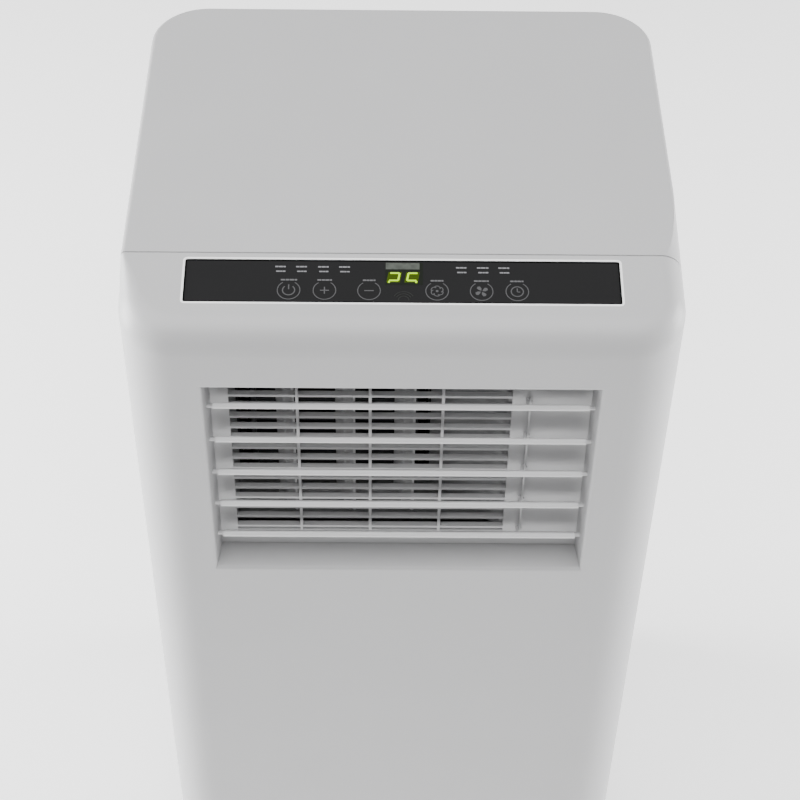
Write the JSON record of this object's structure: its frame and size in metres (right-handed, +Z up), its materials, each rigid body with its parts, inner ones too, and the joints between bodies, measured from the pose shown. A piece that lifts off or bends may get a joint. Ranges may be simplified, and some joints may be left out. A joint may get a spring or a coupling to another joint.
{
  "type": "portable air conditioner",
  "caption": "Upright portable air conditioner on casters: sloped control strip, louvred front outlet, rear intake grilles, round exhaust collar and drain spout.",
  "frame": {"origin": "on the floor under the centre of the casing", "axes": "+X to the unit's right seen from the front, +Y to the rear, +Z up"},
  "size_m": [0.335, 0.31, 0.69],
  "materials": {
    "casing_plastic": "fine satin texture",
    "outlet_plastic": "smooth moulded",
    "inner_plastic": "moulded",
    "fan_plastic": "moulded",
    "overlay_gloss": "polished dark overlay",
    "circuit_board": "solder mask",
    "spring_steel": "plated",
    "fin_aluminium": "mill finish",
    "copper": "drawn copper",
    "black_enamel": "baked enamel",
    "zinc_steel": "galvanised",
    "black_rubber": "matt",
    "caster_black": "moulded",
    "caster_tread": "moulded"
  },
  "bodies": {
    "chassis": {"front_casing": "casing_plastic", "rear_casing": "casing_plastic", "top_cover": "casing_plastic", "base_pan": "inner_plastic", "deck_tray": "inner_plastic", "control_overlay": "overlay_gloss", "display_board": "circuit_board", "touch_springs": "spring_steel", "outlet_grille": "outlet_plastic", "outlet_duct": "inner_plastic", "blower_scroll": "inner_plastic", "evaporator_fins": "fin_aluminium", "evaporator_tube": "copper", "evaporator_motor": "zinc_steel", "condenser_fins": "fin_aluminium", "condenser_tube": "copper", "condenser_scroll": "inner_plastic", "condenser_motor": "zinc_steel", "exhaust_duct": "inner_plastic", "exhaust_ring": "casing_plastic", "compressor": "black_enamel", "accumulator": "black_enamel", "suction_pipe": "copper", "discharge_pipe": "copper", "capillary_tube": "copper", "splash_motor": "zinc_steel", "control_box": "zinc_steel", "main_board": "circuit_board", "handle_cup_left": "casing_plastic", "handle_cup_right": "casing_plastic", "cord_gland": "black_rubber", "casing_screws": "spring_steel", "louvre_motor": "zinc_steel"},
    "louvre_1": {"louvre_blade_1": "outlet_plastic"},
    "louvre_2": {"louvre_blade_2": "outlet_plastic"},
    "louvre_3": {"louvre_blade_3": "outlet_plastic"},
    "louvre_4": {"louvre_blade_4": "outlet_plastic"},
    "louvre_5": {"louvre_blade_5": "outlet_plastic"},
    "louvre_link": {"louvre_link": "inner_plastic"},
    "vane_1": {"vane_1": "outlet_plastic"},
    "vane_2": {"vane_2": "outlet_plastic"},
    "vane_3": {"vane_3": "outlet_plastic"},
    "vane_link": {"vane_link": "outlet_plastic"},
    "evaporator_fan": {"evaporator_fan": "fan_plastic"},
    "condenser_fan": {"condenser_fan": "fan_plastic"},
    "splash_wheel": {"splash_wheel": "fan_plastic"},
    "fork_1": {"caster_fork_1": "caster_black"},
    "wheels_1": {"caster_wheels_1": "caster_tread"},
    "fork_2": {"caster_fork_2": "caster_black"},
    "wheels_2": {"caster_wheels_2": "caster_tread"},
    "fork_3": {"caster_fork_3": "caster_black"},
    "wheels_3": {"caster_wheels_3": "caster_tread"},
    "fork_4": {"caster_fork_4": "caster_black"},
    "wheels_4": {"caster_wheels_4": "caster_tread"},
    "upper_intake": {"upper_grille": "casing_plastic", "upper_filter": "inner_plastic"},
    "lower_intake": {"lower_grille": "casing_plastic", "lower_filter": "inner_plastic"},
    "drain_plug": {"drain_plug": "black_rubber"},
    "float": {"float": "inner_plastic"}
  },
  "joints": [
    {"name": "louvre_1_tilt", "type": "hinge", "parent": "chassis", "child": "louvre_1", "pos_m": [0, -0.144, 0.6104], "axis": [1, 0, 0], "range_deg": [-33, 62]},
    {"name": "louvre_2_tilt", "type": "hinge", "parent": "chassis", "child": "louvre_2", "pos_m": [0, -0.144, 0.5803], "axis": [1, 0, 0], "range_deg": [-33, 62]},
    {"name": "louvre_3_tilt", "type": "hinge", "parent": "chassis", "child": "louvre_3", "pos_m": [0, -0.144, 0.5502], "axis": [1, 0, 0], "range_deg": [-33, 62]},
    {"name": "louvre_4_tilt", "type": "hinge", "parent": "chassis", "child": "louvre_4", "pos_m": [0, -0.144, 0.5201], "axis": [1, 0, 0], "range_deg": [-33, 62]},
    {"name": "louvre_5_tilt", "type": "hinge", "parent": "chassis", "child": "louvre_5", "pos_m": [0, -0.144, 0.49], "axis": [1, 0, 0], "range_deg": [-33, 62]},
    {"name": "louvre_link_pivot", "type": "hinge", "parent": "louvre_3", "child": "louvre_link", "pos_m": [0.0787, -0.13771, 0.54857], "axis": [1, 0, 0], "range_deg": [-62, 33]},
    {"name": "vane_1_turn", "type": "hinge", "parent": "chassis", "child": "vane_1", "pos_m": [-0.073, -0.108, 0.55], "axis": [0, 0, 1], "range_deg": [-60, 8]},
    {"name": "vane_2_turn", "type": "hinge", "parent": "chassis", "child": "vane_2", "pos_m": [-0.035, -0.108, 0.55], "axis": [0, 0, 1], "range_deg": [-60, 8]},
    {"name": "vane_3_turn", "type": "hinge", "parent": "chassis", "child": "vane_3", "pos_m": [0.003, -0.108, 0.55], "axis": [0, 0, 1], "range_deg": [-60, 8]},
    {"name": "vane_link_pivot", "type": "hinge", "parent": "vane_2", "child": "vane_link", "pos_m": [-0.03977, -0.09864, 0.482], "axis": [0, 0, 1], "range_deg": [-8, 60]},
    {"name": "evaporator_fan_spin", "type": "hinge", "parent": "chassis", "child": "evaporator_fan", "pos_m": [-0.043, -0.005, 0.505], "axis": [1, 0, 0], "continuous": true},
    {"name": "condenser_fan_spin", "type": "hinge", "parent": "chassis", "child": "condenser_fan", "pos_m": [0.05, -0.013, 0.2], "axis": [0, 1, 0], "continuous": true},
    {"name": "splash_wheel_spin", "type": "hinge", "parent": "chassis", "child": "splash_wheel", "pos_m": [-0.095, 0.077, 0.093], "axis": [0, 1, 0], "continuous": true},
    {"name": "caster_1_swivel", "type": "hinge", "parent": "chassis", "child": "fork_1", "pos_m": [-0.128, -0.112, 0.045], "axis": [0, 0, 1], "continuous": true},
    {"name": "caster_1_roll", "type": "hinge", "parent": "fork_1", "child": "wheels_1", "pos_m": [-0.128, -0.101, 0.018], "axis": [1, 0, 0], "continuous": true},
    {"name": "caster_2_swivel", "type": "hinge", "parent": "chassis", "child": "fork_2", "pos_m": [0.128, -0.112, 0.045], "axis": [0, 0, 1], "continuous": true},
    {"name": "caster_2_roll", "type": "hinge", "parent": "fork_2", "child": "wheels_2", "pos_m": [0.128, -0.101, 0.018], "axis": [1, 0, 0], "continuous": true},
    {"name": "caster_3_swivel", "type": "hinge", "parent": "chassis", "child": "fork_3", "pos_m": [-0.128, 0.112, 0.045], "axis": [0, 0, 1], "continuous": true},
    {"name": "caster_3_roll", "type": "hinge", "parent": "fork_3", "child": "wheels_3", "pos_m": [-0.128, 0.123, 0.018], "axis": [1, 0, 0], "continuous": true},
    {"name": "caster_4_swivel", "type": "hinge", "parent": "chassis", "child": "fork_4", "pos_m": [0.128, 0.112, 0.045], "axis": [0, 0, 1], "continuous": true},
    {"name": "caster_4_roll", "type": "hinge", "parent": "fork_4", "child": "wheels_4", "pos_m": [0.128, 0.123, 0.018], "axis": [1, 0, 0], "continuous": true},
    {"name": "upper_intake_pull", "type": "slide", "parent": "chassis", "child": "upper_intake", "axis": [0, 1, 0], "range_m": [0, 0.06]},
    {"name": "lower_intake_pull", "type": "slide", "parent": "chassis", "child": "lower_intake", "axis": [0, 1, 0], "range_m": [0, 0.06]},
    {"name": "drain_plug_pull", "type": "slide", "parent": "chassis", "child": "drain_plug", "axis": [0, 1, 0], "range_m": [0, 0.03]},
    {"name": "float_rise", "type": "slide", "parent": "chassis", "child": "float", "axis": [0, 0, 1], "range_m": [0, 0.012]}
  ],
  "couplings": [
    {"joint": "louvre_1_tilt", "follows": "louvre_3_tilt", "ratio": 1},
    {"joint": "louvre_2_tilt", "follows": "louvre_3_tilt", "ratio": 1},
    {"joint": "louvre_4_tilt", "follows": "louvre_3_tilt", "ratio": 1},
    {"joint": "louvre_5_tilt", "follows": "louvre_3_tilt", "ratio": 1},
    {"joint": "louvre_link_pivot", "follows": "louvre_3_tilt", "ratio": -1},
    {"joint": "vane_1_turn", "follows": "vane_2_turn", "ratio": 1},
    {"joint": "vane_3_turn", "follows": "vane_2_turn", "ratio": 1},
    {"joint": "vane_link_pivot", "follows": "vane_2_turn", "ratio": -1}
  ]
}
